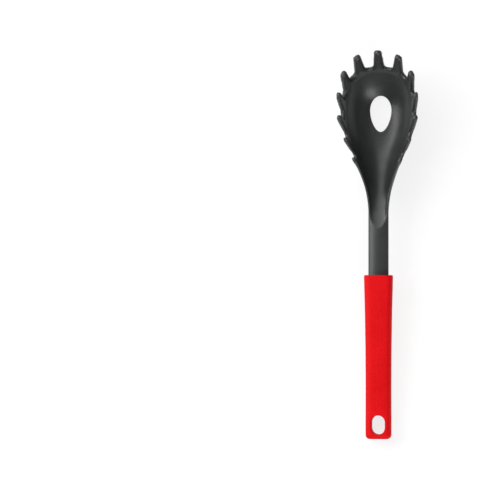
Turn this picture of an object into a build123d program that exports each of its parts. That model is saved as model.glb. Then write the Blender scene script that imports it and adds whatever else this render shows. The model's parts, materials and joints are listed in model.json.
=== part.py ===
"""Pasta server: a toothed nylon head, a rigid handle core and a soft grip, lying face up."""

from build123d import *
from math import atan2, cos, hypot, pi, radians, sin
import os

# Lengths are in millimetres and angles in degrees
# The server lies on a table at height zero, with its bowl towards +Y and its teeth up

# Cuts run this far past what they cut
overrun = 2.0

# Bowl, measured on its outer face
wall = 3.0
bowl_from_front = 52.0
brim_height = 25.0
brim_half_width = 30.7
brim_front_reach = 39.4
floor_half_width = 12.0
floor_front_reach = 11.9
floor_back_reach = 19.5
side_flare_share = 0.175
front_lean_share = 0.597
front_squareness = 2.5
bowl_roundness = 2.6
front_points = 5
side_points = 7

# Neck, from the bowl floor up to the stem
neck_end_reach = 97.5
neck_height = 24.1
neck_turn_angle = 162.0
neck_half_width = 8.3
neck_wall = 2.0
neck_taper_share = 0.95
neck_taper_power = 1.3
neck_shares = (0.0, 0.06, 0.14, 0.24, 0.36, 0.5, 0.66, 0.82, 1.0)
groove_past_neck = 1.5
last_tooth_slope_angle = 52.0
neck_edge_run = 24.0
neck_edge_slope_share = 0.18

# Teeth
tooth_steps = 6
tooth_pitch = 18.2
tooth_rise = 20.0
tooth_front_lean = 9.6
tooth_side_lean = 6.0
lean_turn_angle = 60.0
crown_height = 31.8
crown_drop = 6.3
gap_foot_width = 8.0
gap_foot_radius = 3.4
front_tip_width = 5.6
side_tip_width = 4.4
tip_round_share = 0.42
tooth_cut_depth = 13.0
tooth_cut_height = 26.0

# Drain hole, egg shaped with its point towards the handle
drain_half_width = 9.15
drain_front_reach = 12.4
drain_back_reach = 18.5
drain_from_bowl = 4.6
drain_front_share = 0.55
drain_side_share = 0.45
drain_point_share = 0.5

# Stem and the tang that runs on inside the handle
stem_length = 40.1
stem_in_neck = 25.0
stem_width = 17.2
stem_thickness = 8.5
stem_edge_height = 3.6
stem_edge_radius = 1.4
tang_width = 11.0
tang_thickness = 4.6
tang_corner_radius = 1.1
tang_length = 88.0
key_diameter = 5.0
key_count = 3
key_pitch = 26.0

# Handle, whose widths run from its free end up to its mouth
handle_length = 139.4
handle_width_at_end = 22.0
handle_width_at_waist = 21.8
handle_width_at_mouth = 24.65
handle_thickness_at_end = 14.5
handle_thickness_at_mouth = 16.2
handle_waist_share = 0.33
handle_station_shares = (0.16, 0.33, 0.55, 0.78)
handle_corner_radius = 5.2
handle_front_crown = 0.9
handle_side_crown = 0.4
handle_end_radius = 3.6
handle_mouth_radius = 0.8
mouth_depth = 6.0
grip_wall = 2.2

# Hanging slot
slot_width = 11.4
slot_length = 16.3
slot_from_end = 12.1
slot_lining = 1.6

# Places worked out from the sizes above
overall_length = handle_length + stem_length + neck_end_reach + bowl_from_front
handle_end_y = -overall_length / 2
bowl_y = overall_length / 2 - bowl_from_front
neck_y = bowl_y - neck_end_reach + stem_in_neck
end_height = handle_thickness_at_end / 2
slope = atan2(neck_height - end_height, neck_y - handle_end_y)
along_stem = Vector(0, cos(slope), sin(slope))
up_from_stem = Vector(0, -sin(slope), cos(slope))
handle_end = Vector(0, handle_end_y, end_height)


def on_stem(distance):
    """Point on the stem's centre line, measured from the handle's free end."""
    return handle_end + along_stem * distance


def across_stem(distance):
    """Plane square to the stem, whose local Y points up."""
    return Plane(origin=on_stem(distance), x_dir=(-1, 0, 0), z_dir=along_stem)


def face_of_stem(distance):
    """Plane that lies along the stem, whose local Y points to the bowl."""
    return Plane(origin=on_stem(distance), x_dir=(1, 0, 0), z_dir=up_from_stem)


def stem_height(y):
    """Height of the stem's centre line above the table."""
    return neck_height + (y - neck_y) * sin(slope) / cos(slope)


def bowl_share(height, floor):
    """Share of its full reach that the round of the bowl has at a height."""
    left = max(0.0, 1 - (height - floor) / (brim_height - floor))
    return (1 - left**bowl_roundness) ** (1 / 2)


def taper_share(share):
    """Share of the bowl's width that the outline still has on its way to the neck."""
    turn = min(1.0, share / neck_taper_share)
    return ((1 + cos(pi * turn)) / 2) ** neck_taper_power


def tear_outline(half_width, front_reach, tail_reach, tail_half, neck_share):
    """Points round a level slice, whose tail turns from an oval to a neck as the share grows."""
    side = []
    for step in range(front_points + 1):
        angle = pi / 2 * step / front_points
        x = half_width * sin(angle) ** (2 / front_squareness)
        y = front_reach * max(0.0, cos(angle)) ** (2 / front_squareness)
        side.append((x, bowl_y + y))
    straight = tail_reach - tail_half
    neck = []
    for step in range(1, side_points + 1):
        reach = straight * step / side_points
        neck.append((tail_half + (half_width - tail_half) * taper_share(reach / tail_reach), reach))
    half_turn = pi / 4
    neck.append((tail_half * cos(half_turn), straight + tail_half * sin(half_turn)))
    for step, (neck_x, neck_reach) in enumerate(neck, start=1):
        angle = pi / 2 * step / (len(neck) + 1)
        x = half_width * cos(angle) * (1 - neck_share) + neck_x * neck_share
        y = tail_reach * sin(angle) * (1 - neck_share) + neck_reach * neck_share
        side.append((x, bowl_y - y))
    other = [(-x, y) for x, y in reversed(side[1:])]
    return side + [(0, bowl_y - tail_reach)] + other


def neck_curve(share):
    """Share of its climb that the neck has made, so far along its run to the stem."""
    return (1 - cos(radians(neck_turn_angle) * share)) / (1 - cos(radians(neck_turn_angle)))


def slice_sizes(height, inset):
    """Half width and front reach of the bowl at a height, drawn in by the wall where asked."""
    share = bowl_share(height, inset)
    round_side = brim_half_width - floor_half_width - side_flare_share * brim_height
    round_front = brim_front_reach - floor_front_reach - front_lean_share * brim_height
    lean_wall = inset * hypot(1, front_lean_share)
    half_width = floor_half_width + round_side * share + side_flare_share * height - inset
    front_reach = floor_front_reach + round_front * share + front_lean_share * height - lean_wall
    return half_width, front_reach


def key_place(number):
    """How far from the handle's free end each key passes through the tang."""
    return handle_length - mouth_depth - key_pitch * (number + 1 / 2)


def rim_height(y):
    """Height of the gaps' feet, highest beside the middle of the bowl."""
    return crown_height - crown_drop * ((y - bowl_y) / brim_front_reach) ** 2


def lean_at(step):
    """From a tooth's foot to its tip, for a tooth or gap so many steps from the front one."""
    turn = radians(lean_turn_angle) * step / tooth_steps
    return Vector(tooth_side_lean * sin(turn), tooth_front_lean * cos(turn), tooth_rise)


# Rim that the teeth stand on, seen from above
rim_half, rim_front = slice_sizes(crown_height - crown_drop / 2, 0)
with BuildLine() as rim:
    Spline(*tear_outline(rim_half, rim_front, neck_end_reach, neck_half_width, 1), periodic=True)


def arc_outline(points):
    """Closed outline of arcs, each through three points in turn."""
    ring = points + points[:1]
    for first in range(0, len(points), 2):
        ThreePointArc(*ring[first:first + 3])


def foot_at(step):
    """Point on the rim, so many tooth steps from the front one."""
    spot = rim.line.edge().position_at(tooth_pitch * step, position_mode=PositionMode.LENGTH)
    return Vector(abs(spot.X), spot.Y, rim_height(spot.Y))


def tip_at(step):
    """Tip of the tooth so many steps from the front one."""
    return foot_at(step) + lean_at(step)


def tip_width_at(step):
    """Width of a tooth across its tip, which gets less towards the neck."""
    return front_tip_width + (side_tip_width - front_tip_width) * step / tooth_steps


def bowl_slices(floor, top_of_neck, tail_end_reach, top):
    """Height, reach of the tail and share of the neck's run for each level slice."""
    slices = []
    for share in neck_shares:
        height = floor + (top_of_neck - floor) * neck_curve(share)
        slices.append((height, floor_back_reach + (tail_end_reach - floor_back_reach) * share, share))
    for height in (brim_height, top):
        if height > top_of_neck:
            slices.append((height, tail_end_reach, 1.0))
    return slices


def slice_points(height, tail_reach, share, inset):
    """Points of one level slice, drawn in by the wall where asked."""
    half_width, front_reach = slice_sizes(height, inset)
    tail_half = neck_half_width - inset * neck_wall / wall
    return tear_outline(half_width, front_reach, tail_reach, tail_half, share)


def stem_outline():
    """Section of the stem, domed on its front and back."""
    half, edge, tall = stem_width / 2, stem_edge_height / 2, stem_thickness / 2
    ThreePointArc((-half, edge), (0, tall), (half, edge))
    Line((half, edge), (half, -edge))
    ThreePointArc((half, -edge), (0, -tall), (-half, -edge))
    Line((-half, -edge), (-half, edge))


# Head: bowl, teeth, neck, stem and tang, moulded in one
with BuildPart() as head:
    # Outer form, from the flat floor up past the teeth
    neck_end_y = bowl_y - neck_end_reach
    neck_end_height = stem_height(neck_end_y) - stem_edge_height / 2
    top_of_wall = crown_height + tooth_rise + overrun
    for height, tail_reach, share in bowl_slices(0, neck_end_height, neck_end_reach, top_of_wall):
        with BuildSketch(Plane.XY.offset(height)):
            with BuildLine():
                arc_outline(slice_points(height, tail_reach, share, 0))
            make_face()
    loft(ruled=True)

    # Edges of the neck, which rise from the stem to the last teeth
    last_tip = tip_at(tooth_steps)
    last_width = tip_width_at(tooth_steps)
    rise_angle = radians(last_tooth_slope_angle)
    edge_start = Vector(neck_end_y, stem_height(neck_end_y) + stem_edge_height / 2)
    edge_mid = edge_start + Vector(neck_edge_run, neck_edge_run * neck_edge_slope_share)
    edge_end = Vector(last_tip.Y - last_width / 2, last_tip.Z)
    with BuildSketch(Plane.YZ):
        with BuildLine():
            Line(edge_start, edge_mid)
            TangentArc(edge_end, edge_mid, tangent=(-cos(rise_angle), -sin(rise_angle)))
            Polyline(
                edge_end,
                (last_tip.Y + last_width, last_tip.Z),
                (last_tip.Y + last_width, top_of_wall + overrun),
                (edge_start.X - overrun, top_of_wall + overrun),
                (edge_start.X - overrun, edge_start.Y),
                edge_start,
            )
        make_face()
        fillet(vertices().sort_by_distance(edge_end)[0], last_width * tip_round_share)
    extrude(amount=2 * brim_half_width, both=True, mode=Mode.SUBTRACT)

    # Stem, domed on its front and back
    stem_run = (neck_y - handle_end_y) / cos(slope) - handle_length + mouth_depth
    with BuildSketch(across_stem(handle_length - mouth_depth)):
        with BuildLine():
            stem_outline()
        make_face()
        fillet(vertices(), stem_edge_radius)
    extrude(amount=stem_run)

    # Hollow of the bowl and its groove down the neck
    groove_end_reach = neck_end_reach + groove_past_neck
    groove_end = stem_height(bowl_y - groove_end_reach) + stem_thickness / 2
    for height, tail_reach, share in bowl_slices(wall, groove_end, groove_end_reach, top_of_wall + overrun):
        with BuildSketch(Plane.XY.offset(height)):
            with BuildLine():
                arc_outline(slice_points(height, tail_reach, share, wall))
            make_face()
    loft(ruled=True, mode=Mode.SUBTRACT)

    # Gaps between the teeth, rounded at their feet and round the teeth's tips
    for step in range(tooth_steps):
        foot = foot_at(step + 1 / 2)
        near_tip = tip_at(step)
        far_tip = tip_at(step + 1)
        along = (near_tip + far_tip) * (1 / 2) - foot
        across = near_tip - far_tip
        out = along.cross(across)
        length = along.length
        tip_width = tip_width_at(step + 1 / 2)
        half_foot = gap_foot_width / 2
        half_mouth = (across.length - tip_width) / 2
        half_top = (across.length + tip_width) / 2 + overrun
        half_sky = half_top + tooth_cut_height / 2
        for side in (1, -1):
            origin = Vector(side * foot.X, foot.Y, foot.Z)
            facing = Vector(side * out.X, out.Y, out.Z)
            up = Vector(side * along.X, along.Y, along.Z)
            with BuildSketch(Plane(origin=origin, x_dir=up.cross(facing), z_dir=facing)):
                with BuildLine():
                    Polyline(
                        (-half_foot, 0),
                        (half_foot, 0),
                        (half_mouth, length),
                        (half_top, length),
                        (half_sky, length + tooth_cut_height),
                        (-half_sky, length + tooth_cut_height),
                        (-half_top, length),
                        (-half_mouth, length),
                        close=True,
                    )
                make_face()
                fillet(vertices().group_by(Axis.Y)[0], gap_foot_radius)
                tip_corners = vertices().group_by(Axis.Y)[-2].sort_by(lambda corner: abs(corner.X))[:2]
                fillet(tip_corners, tip_width * tip_round_share)
            extrude(amount=tooth_cut_depth, both=True, mode=Mode.SUBTRACT)

    # Drain hole through the floor
    with BuildSketch(Plane.XY.offset(-overrun)):
        with BuildLine():
            drain_y = bowl_y + drain_from_bowl
            Bezier(
                (0, drain_y + drain_front_reach),
                (drain_half_width * drain_front_share, drain_y + drain_front_reach),
                (drain_half_width, drain_y + drain_front_reach * drain_front_share),
                (drain_half_width, drain_y),
            )
            Bezier(
                (drain_half_width, drain_y),
                (drain_half_width, drain_y - drain_back_reach * drain_side_share),
                (drain_half_width * drain_point_share, drain_y - drain_back_reach),
                (0, drain_y - drain_back_reach),
            )
            mirror(about=Plane.YZ)
        make_face()
    extrude(amount=brim_height, mode=Mode.SUBTRACT)

    # Tang, which is narrower than the stem and has holes for the core's keys
    with BuildSketch(across_stem(handle_length - mouth_depth)):
        RectangleRounded(tang_width, tang_thickness, tang_corner_radius)
    extrude(amount=-tang_length)
    for key in range(key_count):
        with BuildSketch(face_of_stem(key_place(key))):
            Circle(key_diameter / 2)
        extrude(amount=tang_thickness, both=True, mode=Mode.SUBTRACT)


def handle_outline(distance, inset):
    """Section of the handle at a distance from its free end, drawn in where asked."""
    share = distance / handle_length
    if share < handle_waist_share:
        part_share = share / handle_waist_share
        width = handle_width_at_end + (handle_width_at_waist - handle_width_at_end) * part_share
    else:
        part_share = (share - handle_waist_share) / (1 - handle_waist_share)
        width = handle_width_at_waist + (handle_width_at_mouth - handle_width_at_waist) * part_share**2
    thickness = handle_thickness_at_end + (handle_thickness_at_mouth - handle_thickness_at_end) * share**2
    half, tall = width / 2 - inset, thickness / 2 - inset
    flat, side = tall - handle_front_crown, half - handle_side_crown
    ThreePointArc((-side, flat), (0, tall), (side, flat))
    ThreePointArc((side, flat), (half, 0), (side, -flat))
    ThreePointArc((side, -flat), (0, -tall), (-side, -flat))
    ThreePointArc((-side, -flat), (-half, 0), (-side, flat))


def handle_stations(first, last):
    """Distances along the handle at which its sections are drawn."""
    return [first] + [handle_length * share for share in handle_station_shares] + [last]


# Handle core, moulded round the tang, with an eye for the hanging slot
core_end = handle_length - mouth_depth
with BuildPart() as core:
    for distance in handle_stations(grip_wall, core_end):
        with BuildSketch(across_stem(distance)):
            with BuildLine():
                handle_outline(distance, grip_wall)
            make_face()
            fillet(vertices(), handle_corner_radius - grip_wall)
    loft(ruled=True)
    fillet(faces().sort_by(Axis.Y)[0].edges(), handle_end_radius - grip_wall)
    with BuildSketch(face_of_stem(slot_from_end)):
        SlotOverall(slot_length + 2 * slot_lining, slot_width + 2 * slot_lining, rotation=90)
    extrude(amount=handle_thickness_at_mouth, both=True, mode=Mode.SUBTRACT)
    with BuildSketch(across_stem(core_end)):
        RectangleRounded(tang_width, tang_thickness, tang_corner_radius)
    extrude(amount=-tang_length, mode=Mode.SUBTRACT)
    for key in range(key_count):
        with BuildSketch(face_of_stem(key_place(key))):
            Circle(key_diameter / 2)
        extrude(amount=tang_thickness / 2 + overrun, both=True)

# Soft grip, moulded over the core, whose skin also lines the hanging slot
with BuildPart() as grip:
    for distance in handle_stations(0, handle_length):
        with BuildSketch(across_stem(distance)):
            with BuildLine():
                handle_outline(distance, 0)
            make_face()
            fillet(vertices(), handle_corner_radius)
    loft(ruled=True)
    fillet(faces().sort_by(Axis.Y)[0].edges(), handle_end_radius)
    fillet(faces().sort_by(Axis.Y)[-1].edges(), handle_mouth_radius)
    with BuildSketch(face_of_stem(slot_from_end)):
        SlotOverall(slot_length, slot_width, rotation=90)
    extrude(amount=handle_thickness_at_mouth, both=True, mode=Mode.SUBTRACT)
    add(core.part, mode=Mode.SUBTRACT)
    with BuildSketch(across_stem(core_end)):
        RectangleRounded(tang_width, tang_thickness, tang_corner_radius)
    extrude(amount=-tang_length, mode=Mode.SUBTRACT)
    with BuildSketch(across_stem(core_end)):
        with BuildLine():
            stem_outline()
        make_face()
        fillet(vertices(), stem_edge_radius)
    extrude(amount=mouth_depth + overrun, mode=Mode.SUBTRACT)

head.part.label = "head"
core.part.label = "handle_core"
grip.part.label = "grip"
os.makedirs("parts", exist_ok=True)
export_step(head.part, "parts/head.step")
export_step(core.part, "parts/handle_core.step")
export_step(grip.part, "parts/grip.step")
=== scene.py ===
# %% [markdown]
# A pasta server lifts long pasta out of boiling water. Its head is one moulding of black
# nylon: a bowl with thirteen teeth that comb the strands, a drain hole for the water, and a
# neck that runs on into a stem. A red soft grip is moulded over the stem's far end.
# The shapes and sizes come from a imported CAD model, which is loaded here as a fixed frame.
# This script gives each moulding its rounded edges, its finish and its fine grip dots.

# %% Load the frame
import json
from math import copysign, cos, degrees, exp, radians, sin, sqrt

import bmesh
import bpy
from mathutils import Matrix, Vector
from mathutils.bvhtree import BVHTree


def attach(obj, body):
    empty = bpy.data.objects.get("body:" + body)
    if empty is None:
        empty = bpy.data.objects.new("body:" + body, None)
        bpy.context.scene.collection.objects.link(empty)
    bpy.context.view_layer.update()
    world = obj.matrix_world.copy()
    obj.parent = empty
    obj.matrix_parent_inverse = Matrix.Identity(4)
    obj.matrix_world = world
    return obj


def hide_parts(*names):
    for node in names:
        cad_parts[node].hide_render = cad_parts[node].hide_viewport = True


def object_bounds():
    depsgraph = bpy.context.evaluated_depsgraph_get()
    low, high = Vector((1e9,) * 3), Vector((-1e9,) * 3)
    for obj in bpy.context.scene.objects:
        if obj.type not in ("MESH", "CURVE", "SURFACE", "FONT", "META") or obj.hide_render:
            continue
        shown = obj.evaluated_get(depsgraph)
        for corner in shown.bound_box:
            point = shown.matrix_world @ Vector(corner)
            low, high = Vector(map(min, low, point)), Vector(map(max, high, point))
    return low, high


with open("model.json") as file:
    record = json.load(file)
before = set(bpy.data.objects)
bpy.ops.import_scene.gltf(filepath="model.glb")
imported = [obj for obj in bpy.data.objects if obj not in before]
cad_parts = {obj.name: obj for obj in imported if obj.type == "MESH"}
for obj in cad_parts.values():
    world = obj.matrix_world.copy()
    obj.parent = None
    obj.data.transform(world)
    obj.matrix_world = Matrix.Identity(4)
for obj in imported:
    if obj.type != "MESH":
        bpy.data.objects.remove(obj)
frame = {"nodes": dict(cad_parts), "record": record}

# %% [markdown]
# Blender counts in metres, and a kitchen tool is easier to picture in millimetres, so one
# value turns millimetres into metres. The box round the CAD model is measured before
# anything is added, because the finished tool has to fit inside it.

MM = 0.001
cad_low, cad_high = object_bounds()
print("CAD box in mm", [round(side / MM, 1) for side in cad_high - cad_low])

# %% [markdown]
# The stem and the grip slope a little, because the tool rests on the bowl's floor and on the
# grip's end. The hanging slot goes through the grip square to its front, so the slot's axis
# in the record is the direction that the front faces. The other two directions follow.

# %% Directions along and across the grip
slot_mount = frame["record"]["mounts"][0]
slot_middle = Vector(slot_mount["pos_m"])
out_of_front = Vector(slot_mount["axis"]).normalized()
to_the_right = Vector((1, 0, 0))
along_grip = out_of_front.cross(to_the_right)
slope = out_of_front.angle(Vector((0, 0, 1)))
print("the front leans by", round(degrees(slope), 2), "degrees")

# %% [markdown]
# Colours are easiest to read as the hex values of a paint chart, but a shader counts light,
# so one function turns each hex value into linear light. A second function adds a shader
# node with its settings and what feeds it, so that each material below reads as a recipe.
# A third opens a material and gives what every recipe starts from. The place of a point is
# taken on the object itself, so that no pattern stretches or slides when the tool is moved.


# %% Colour and node helpers
def light_of(hex_colour):
    """Linear red, green, blue and alpha of a colour such as #DE1B24."""
    parts = [int(hex_colour[place:place + 2], 16) / 255 for place in (1, 3, 5)]
    linear = [part / 12.92 if part <= 0.04045 else ((part + 0.055) / 1.055) ** 2.4 for part in parts]
    return linear + [1.0]


def add_node(tree, kind, feeds=None, **settings):
    """Adds a node, with its settings and with a value or a link for each input that is named."""
    node = tree.nodes.new(kind)
    for name, value in settings.items():
        setattr(node, name, value)
    for place, value in (feeds or {}).items():
        if isinstance(value, bpy.types.NodeSocket):
            tree.links.new(value, node.inputs[place])
        else:
            node.inputs[place].default_value = value
    return node


def open_material(name):
    """A new material, its node tree, its shader and the place of a point on the object."""
    material = bpy.data.materials.new(name)
    material.use_nodes = True
    tree = material.node_tree
    place = add_node(tree, "ShaderNodeTexCoord").outputs["Object"]
    return material, tree, tree.nodes["Principled BSDF"], place


def per_size(size_mm):
    """Scale of a noise whose spots are about so many millimetres across."""
    return 1 / (size_mm * MM)


# %% [markdown]
# The head is nylon 66 with a little glass fibre, which stands the heat of the pan. It comes
# out of a finely polished steel mould, so it has a satin skin: broad soft highlights, and
# a deep charcoal colour rather than a pure black. The fibre near the skin makes the gloss
# and the tone vary very slightly, in spots of some millimetres, and the skin itself has
# a grain of a few tenths of a millimetre, drawn here a little coarser so that it shows
# from close by. A noise stays mostly between 0.3 and 0.7, so those two values carry the
# darkest and the lightest tone.

# %% Black nylon, moulded satin
noise_low = 0.3
noise_high = 0.7
mould_relief = 0.08 * MM


def glass_filled_nylon():
    """Charcoal nylon whose skin is satin, with a fine grain and faint clouds in its gloss."""
    material, tree, shader, place = open_material("glass_filled_nylon_moulded_satin")
    clouds = add_node(
        tree,
        "ShaderNodeTexNoise",
        {"Vector": place, "Scale": per_size(9), "Detail": 3.0},
    )
    tone = add_node(tree, "ShaderNodeValToRGB", {"Fac": clouds.outputs["Fac"]})
    tone.color_ramp.elements[0].position = noise_low
    tone.color_ramp.elements[0].color = light_of("#2D2F2E")
    tone.color_ramp.elements[1].position = noise_high
    tone.color_ramp.elements[1].color = light_of("#323433")
    tree.links.new(tone.outputs["Color"], shader.inputs["Base Color"])
    gloss = add_node(
        tree,
        "ShaderNodeMapRange",
        {
            "Value": clouds.outputs["Fac"],
            "From Min": noise_low,
            "From Max": noise_high,
            "To Min": 0.38,
            "To Max": 0.44,
        },
    )
    tree.links.new(gloss.outputs["Result"], shader.inputs["Roughness"])
    grain = add_node(
        tree,
        "ShaderNodeTexNoise",
        {"Vector": place, "Scale": per_size(0.45), "Detail": 2.0},
    )
    skin = add_node(
        tree,
        "ShaderNodeBump",
        {"Height": grain.outputs["Fac"], "Strength": 0.12, "Distance": mould_relief},
    )
    tree.links.new(skin.outputs["Normal"], shader.inputs["Normal"])
    shader.inputs["IOR"].default_value = 1.5
    return material


black_nylon = glass_filled_nylon()
print("finish", black_nylon.name)

# %% [markdown]
# The grip is a thermoplastic elastomer, moulded over the hard core. Its mould is etched, so
# the skin is matt and dry to the touch: its gloss is weak and spreads wide, and the red
# stays full almost to its edges. Such an etching is usually finer than a tenth of a
# millimetre, and it is drawn at 0.3 mm so that it shows from close by.


# %% Red elastomer, etched mould
def soft_touch_elastomer():
    """Full red rubber with an etched skin, a little lighter where the skin is drier."""
    material, tree, shader, place = open_material("thermoplastic_elastomer_moulded_etched")
    patches = add_node(
        tree,
        "ShaderNodeTexNoise",
        {"Vector": place, "Scale": per_size(14), "Detail": 2.0},
    )
    tone = add_node(tree, "ShaderNodeValToRGB", {"Fac": patches.outputs["Fac"]})
    tone.color_ramp.elements[0].position = noise_low
    tone.color_ramp.elements[0].color = light_of("#CE0008")
    tone.color_ramp.elements[1].position = noise_high
    tone.color_ramp.elements[1].color = light_of("#D4040D")
    tree.links.new(tone.outputs["Color"], shader.inputs["Base Color"])
    dryness = add_node(
        tree,
        "ShaderNodeMapRange",
        {
            "Value": patches.outputs["Fac"],
            "From Min": noise_low,
            "From Max": noise_high,
            "To Min": 0.55,
            "To Max": 0.63,
        },
    )
    tree.links.new(dryness.outputs["Result"], shader.inputs["Roughness"])
    etched = add_node(
        tree,
        "ShaderNodeTexNoise",
        {"Vector": place, "Scale": per_size(0.3), "Detail": 2.0},
    )
    skin = add_node(
        tree,
        "ShaderNodeBump",
        {"Height": etched.outputs["Fac"], "Strength": 0.15, "Distance": mould_relief},
    )
    tree.links.new(skin.outputs["Normal"], shader.inputs["Normal"])
    shader.inputs["IOR"].default_value = 1.5
    shader.inputs["Specular IOR Level"].default_value = 0.13
    return material


red_elastomer = soft_touch_elastomer()
print("finish", red_elastomer.name)

# %% [markdown]
# The core inside the grip is plain polypropylene, dyed the same red so that no dark line
# shows where the rubber is thin. Its mould is only machined, so it keeps faint lines from
# the cutter, a few millimetres apart, which a wave texture draws.

# %% Red polypropylene, plain mould
machined_relief = 0.05 * MM


def core_polypropylene():
    """Plain red polypropylene with the faint lines of a machined mould."""
    material, tree, shader, place = open_material("polypropylene_moulded_plain")
    lines = add_node(
        tree,
        "ShaderNodeTexWave",
        {"Vector": place, "Scale": per_size(3), "Distortion": 1.5, "Detail": 2.0},
        bands_direction="X",
    )
    tone = add_node(tree, "ShaderNodeValToRGB", {"Fac": lines.outputs["Fac"]})
    tone.color_ramp.elements[0].color = light_of("#B8121A")
    tone.color_ramp.elements[1].color = light_of("#C5161E")
    tree.links.new(tone.outputs["Color"], shader.inputs["Base Color"])
    ridges = add_node(
        tree,
        "ShaderNodeBump",
        {"Height": lines.outputs["Fac"], "Strength": 0.2, "Distance": machined_relief},
    )
    tree.links.new(ridges.outputs["Normal"], shader.inputs["Normal"])
    shader.inputs["Roughness"].default_value = 0.42
    shader.inputs["IOR"].default_value = 1.49
    return material


core_plastic = core_polypropylene()
core_node = frame["nodes"]["handle_core"]
core_node.data.materials.clear()
core_node.data.materials.append(core_plastic)
print("finish", core_plastic.name)

# %% [markdown]
# A steel mould can't hold a perfectly sharp edge, and the moulder wants none on a tool that
# scrapes a pan, so the real head is rounded at every rim, tooth and gap. The CAD solid has
# crisp edges. A copy of its mesh is merged, because its triangles are loose, and wrapped in
# an even skin of small squares. Smoothing that skin a few times then rounds the edges by
# under a millimetre and leaves the broad surfaces alone. Modifiers do the wrapping and the
# smoothing, and their result becomes the piece's own mesh. The grip gets fewer rounds than
# the head, so that the edge of its mouth stays neat.

# %% Rounded skins over the CAD solids
merge_distance = 0.002 * MM
skin_square = 0.7 * MM
smoothing_factor = 0.5
head_rounds = 5
grip_rounds = 3


def merged_copy(node_name, piece_name):
    """A new object with a copy of a CAD node's mesh, its loose triangles joined up."""
    mesh = bpy.data.meshes.new(piece_name)
    work = bmesh.new()
    work.from_mesh(frame["nodes"][node_name].data)
    bmesh.ops.remove_doubles(work, verts=work.verts, dist=merge_distance)
    work.to_mesh(mesh)
    work.free()
    piece = bpy.data.objects.new(piece_name, mesh)
    bpy.context.scene.collection.objects.link(piece)
    return piece


def add_smoothing(piece, name, rounds, group=""):
    """Smooths a piece some rounds, all of it or as far as a vertex group says."""
    smoothing = piece.modifiers.new(name, "SMOOTH")
    smoothing.factor = smoothing_factor
    smoothing.iterations = rounds
    smoothing.vertex_group = group


def keep_modified(piece):
    """Makes the result of a piece's modifiers its own mesh."""
    view = bpy.context.evaluated_depsgraph_get()
    finished = bpy.data.meshes.new_from_object(piece.evaluated_get(view))
    piece.modifiers.clear()
    piece.data = finished
    finished.name = piece.name


def rounded_skin(node_name, piece_name, rounds, material):
    """A piece that stands for a CAD node, wrapped in small squares and smoothed some rounds."""
    piece = merged_copy(node_name, piece_name)
    wrap = piece.modifiers.new("wrap", "REMESH")
    wrap.mode = "VOXEL"
    wrap.voxel_size = skin_square
    add_smoothing(piece, "soften", rounds)
    keep_modified(piece)
    piece.data.shade_smooth()
    piece.data.materials.clear()
    piece.data.materials.append(material)
    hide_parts(node_name)
    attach(piece, "root")
    return piece


head_skin = rounded_skin("head", "head_skin", head_rounds, black_nylon)
grip_skin = rounded_skin("grip", "grip_skin", grip_rounds, red_elastomer)
for piece in (head_skin, grip_skin):
    print(piece.name, "has", len(piece.data.polygons), "faces")

# %% [markdown]
# Two parts of the head need more than that. Molten nylon fills a bowl best where its floor
# runs into its walls in one wide curve, so the inside of the bowl is smoothed many more
# times, which fills the bend by under a millimetre. The rim, the teeth and the edge of the
# drain hole keep their places. The real teeth are full and end in round tips, so they are
# swollen along their normals by under a millimetre and smoothed. Nothing may leave the box
# of the CAD model, so the tips ease towards its sides instead of being cut off there.
# Heights are counted from the table, and places along the tool from the middle of the bowl.

# %% Wide bend in the bowl and round teeth
bowl_y = cad_high.y - 52 * MM
hole_y = bowl_y + 4.6 * MM
hole_half_width = 9.15 * MM
hole_front_reach = 12.4 * MM
hole_back_reach = 18.5 * MM
hole_margins = (1.1, 1.5)
groove_end_y = bowl_y - 98 * MM
groove_fade = 10 * MM
rim_heights = (18 * MM, 22.5 * MM)
facing_in = (0.1, 0.4)
look_from_y = bowl_y + 8 * MM
look_from_height = 45 * MM
bend_rounds = 260
last_tooth_y = bowl_y - 40 * MM
tooth_fade = 8 * MM
tooth_heights = (22 * MM, 30 * MM)
tooth_swell = 0.85 * MM
tooth_rounds = 14
side_margin = 0.3 * MM
top_margin = 1.2 * MM


def fade(value, start, end):
    """Runs smoothly from 0 at the start to 1 at the end."""
    share = min(1.0, max(0.0, (value - start) / (end - start)))
    return share * share * (3 - 2 * share)


def inside_share(place, normal):
    """How much a point belongs to the inside of the bowl and the groove."""
    above = Vector((0, min(place.y, look_from_y), look_from_height))
    facing = normal.dot((above - place).normalized())
    reach = hole_front_reach if place.y > hole_y else hole_back_reach
    from_hole = sqrt((place.x / hole_half_width) ** 2 + ((place.y - hole_y) / reach) ** 2)
    below_rim = 1 - fade(place.z, *rim_heights)
    in_front_of_stem = fade(place.y, groove_end_y, groove_end_y + groove_fade)
    return fade(facing, *facing_in) * fade(from_hole, *hole_margins) * below_rim * in_front_of_stem


def tooth_share(place):
    """How much a point belongs to the teeth."""
    return fade(place.z, *tooth_heights) * fade(place.y, last_tooth_y - tooth_fade, last_tooth_y)


def eased(value, limit, margin):
    """Slows a value down over the last stretch before a limit, which it never passes."""
    over = value - (limit - margin)
    return value if over <= 0 else limit - margin * exp(-over / margin)


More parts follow.
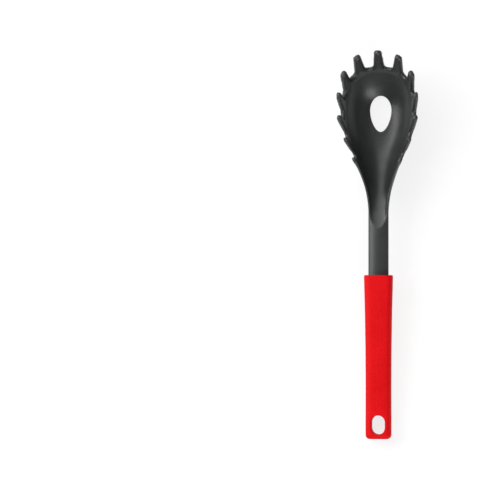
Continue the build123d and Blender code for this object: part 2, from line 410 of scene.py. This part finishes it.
inside = head_skin.vertex_groups.new(name="inside")
teeth = head_skin.vertex_groups.new(name="teeth")
for vertex in head_skin.data.vertices:
    inside.add([vertex.index], inside_share(vertex.co, vertex.normal), "REPLACE")
    teeth.add([vertex.index], tooth_share(vertex.co), "REPLACE")
add_smoothing(head_skin, "bend", bend_rounds, "inside")
swell = head_skin.modifiers.new("swell", "DISPLACE")
swell.mid_level = 0.0
swell.strength = tooth_swell
swell.vertex_group = "teeth"
add_smoothing(head_skin, "tips", tooth_rounds, "teeth")
keep_modified(head_skin)
for vertex in head_skin.data.vertices:
    if tooth_share(vertex.co) > 0:
        vertex.co.x = copysign(eased(abs(vertex.co.x), cad_high.x, side_margin), vertex.co.x)
        vertex.co.y = eased(vertex.co.y, cad_high.y, side_margin)
        vertex.co.z = eased(vertex.co.z, cad_high.z, top_margin)
print("head skin", len(head_skin.data.polygons), "faces after the wide bend")

# %% [markdown]
# The front of the grip has a field of very fine raised dots, so that a wet hand doesn't
# slip. They stand eight abreast and stop short of the slot and of the grip's mouth. Each is
# a shallow dome. A small sphere is flattened, and a copy of it is sunk by half wherever a
# ray shot at the front meets the rubber, so that the dots follow its gentle crown.

# %% Grip dots
dot_pitch = 1.45 * MM
dot_width = 0.95 * MM
dot_height = 0.16 * MM
dot_columns = 8
dot_sides = 8
dot_rings = 4
field_from_slot = 12.5 * MM
field_length = 103 * MM
ray_height = 30 * MM


def dome_field(surface):
    """One mesh of low domes on the front of the grip."""
    tree = BVHTree.FromPolygons(
        [vertex.co for vertex in surface.vertices],
        [polygon.vertices for polygon in surface.polygons],
    )
    dome = bmesh.new()
    bmesh.ops.create_uvsphere(dome, u_segments=dot_sides, v_segments=dot_rings, radius=dot_width / 2)
    bmesh.ops.scale(dome, vec=(1, 1, dot_height / (dot_width / 2)), verts=dome.verts)
    pattern = bpy.data.meshes.new("dot_pattern")
    dome.to_mesh(pattern)
    dome.free()
    field = bmesh.new()
    for row in range(int(field_length / dot_pitch)):
        for column in range(dot_columns):
            start = slot_middle + out_of_front * ray_height
            start += along_grip * (field_from_slot + row * dot_pitch)
            start += to_the_right * (column - (dot_columns - 1) / 2) * dot_pitch
            spot, facing, _, _ = tree.ray_cast(start, -out_of_front)
            if spot is None:
                continue
            turn = facing.to_track_quat("Z", "Y").to_matrix().to_4x4()
            old = len(field.verts)
            field.from_mesh(pattern)
            field.verts.ensure_lookup_table()
            bmesh.ops.transform(field, matrix=Matrix.Translation(spot) @ turn, verts=field.verts[old:])
    mesh = bpy.data.meshes.new("grip_dots")
    field.to_mesh(mesh)
    field.free()
    bpy.data.meshes.remove(pattern)
    return mesh


grip_dots = bpy.data.objects.new("grip_dots", dome_field(grip_skin.data))
bpy.context.scene.collection.objects.link(grip_dots)
grip_dots.data.shade_smooth()
grip_dots.data.materials.append(red_elastomer)
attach(grip_dots, "root")
print("grip dots", len(grip_dots.data.polygons) // (dot_sides * dot_rings))

# %% [markdown]
# The tool is shown on a white table. The table is a large flat sheet of matt white laminate,
# just below the tool, whose faint mottle keeps it from being one dead colour. It is stage,
# not part of the object. The photograph's ground is pure white, so a share of the table's
# white shows whatever light falls on it. Only the rays that look at the table see that
# share, so it lights nothing, and the rest of the table keeps the tool's soft shadow.

# %% White table
shadow_softening = 0.8
table_size = 6.0
table_gap = 0.1 * MM


def seen_share(tree, share):
    """A share for rays that look at a thing, straight, mirrored or through glass, else none."""
    rays = add_node(tree, "ShaderNodeLightPath")
    seen = rays.outputs["Is Camera Ray"]
    steps = (
        ("MAXIMUM", rays.outputs["Is Glossy Ray"]),
        ("MAXIMUM", rays.outputs["Is Transmission Ray"]),
        ("MULTIPLY", share),
    )
    for operation, value in steps:
        step = add_node(tree, "ShaderNodeMath", {0: seen, 1: value}, operation=operation)
        seen = step.outputs["Value"]
    return seen


def white_laminate():
    """Matt white table top with a mottle too faint to notice by itself."""
    material, tree, shader, place = open_material("laminate_matt_white")
    mottle = add_node(tree, "ShaderNodeTexNoise", {"Vector": place, "Scale": per_size(60)})
    tone = add_node(tree, "ShaderNodeValToRGB", {"Fac": mottle.outputs["Fac"]})
    tone.color_ramp.elements[0].color = light_of("#FCFCFC")
    tone.color_ramp.elements[1].color = light_of("#FFFFFF")
    tree.links.new(tone.outputs["Color"], shader.inputs["Base Color"])
    shader.inputs["Roughness"].default_value = 0.9
    shader.inputs["Specular IOR Level"].default_value = 0.2
    glow = add_node(tree, "ShaderNodeEmission", {"Color": light_of("#FFFFFF"), "Strength": 1.0})
    blend = add_node(
        tree,
        "ShaderNodeMixShader",
        {
            0: seen_share(tree, shadow_softening),
            1: shader.outputs["BSDF"],
            2: glow.outputs["Emission"],
        },
    )
    tree.links.new(blend.outputs["Shader"], tree.nodes["Material Output"].inputs["Surface"])
    return material


sheet = bmesh.new()
bmesh.ops.create_grid(sheet, x_segments=1, y_segments=1, size=table_size / 2)
bmesh.ops.translate(sheet, vec=(0, 0, cad_low.z - table_gap), verts=sheet.verts)
table_mesh = bpy.data.meshes.new("white_table")
sheet.to_mesh(table_mesh)
sheet.free()
white_table = bpy.data.objects.new("white_table", table_mesh)
bpy.context.scene.collection.objects.link(white_table)
white_table.data.materials.append(white_laminate())
print("table", table_size, "m wide")

# %% [markdown]
# Such a product is photographed inside a dim white tent, between large soft lamps. The tent
# is the world's own even light. Black nylon shows its shape by what it mirrors, so each
# lamp stands where a highlight of the photograph comes from. The left lamp gives the stem
# its bright left edge and the bowl the band down its right side. The top lamp stands beyond
# the teeth and lights the neck and the groove. The handle lamp gives the bowl the soft spot
# left of the drain hole.

# %% Tent and lamps
tent_light = 0.2
bowl_middle = Vector((0, bowl_y, 10 * MM))
world = bpy.data.worlds.new("white_tent")
world.use_nodes = True
tent = world.node_tree.nodes["Background"]
tent.inputs["Color"].default_value = light_of("#FFFFFF")
tent.inputs["Strength"].default_value = tent_light
bpy.context.scene.world = world
bpy.context.scene.view_settings.view_transform = "Standard"


def soft_lamp(name, place, width, watts):
    """A square lamp that faces the middle of the bowl and isn't itself seen."""
    lamp = bpy.data.lights.new(name, "AREA")
    lamp.size = width
    lamp.energy = watts
    holder = bpy.data.objects.new(name, lamp)
    holder.location = place
    holder.rotation_mode = "QUATERNION"
    holder.rotation_quaternion = (holder.location - bowl_middle).to_track_quat("Z", "Y")
    holder.visible_camera = False
    bpy.context.scene.collection.objects.link(holder)


soft_lamp("left_lamp", place=(-1.15, 0.3, 1.0), width=0.9, watts=17.0)
soft_lamp("top_lamp", place=(-0.55, 0.95, 1.2), width=1.3, watts=14.0)
soft_lamp("handle_lamp", place=(0.45, -1.15, 0.75), width=0.65, watts=11.5)
print("light of the tent", tent_light)

# %% [markdown]
# The photograph looks straight down on the front of the tool, from slightly to its right,
# through a long lens. Each pixel covers 0.85 mm there, and the tool's middle lies right of
# the picture's middle. The camera is aimed beside the tool by that much, so it needs no shift.

# %% Camera
picture_pixels = (500, 499)
pixel = 0.85 * MM
tool_pixel = (378.5, 244.9)
tool_middle = Vector((0, 0, 20.8 * MM))
side_angle = radians(5.5)
camera_distance = 4.0
sensor_width_mm = 36

to_camera = out_of_front * cos(side_angle) + to_the_right * sin(side_angle)
picture_up = along_grip
picture_right = picture_up.cross(to_camera)
aim_right = (picture_pixels[0] / 2 - tool_pixel[0]) * pixel
aim_up = (tool_pixel[1] - picture_pixels[1] / 2) * pixel
camera = bpy.data.objects.new("camera", bpy.data.cameras.new("camera"))
camera.data.sensor_width = sensor_width_mm
camera.data.lens = sensor_width_mm * camera_distance / (picture_pixels[0] * pixel)
camera.data.clip_end = 3 * camera_distance
camera.matrix_world = Matrix.Translation(
    tool_middle + picture_right * aim_right + picture_up * aim_up + to_camera * camera_distance
) @ Matrix((picture_right, picture_up, to_camera)).transposed().to_4x4()
bpy.context.scene.collection.objects.link(camera)
bpy.context.scene.camera = camera
print("lens", round(camera.data.lens, 1), "mm")
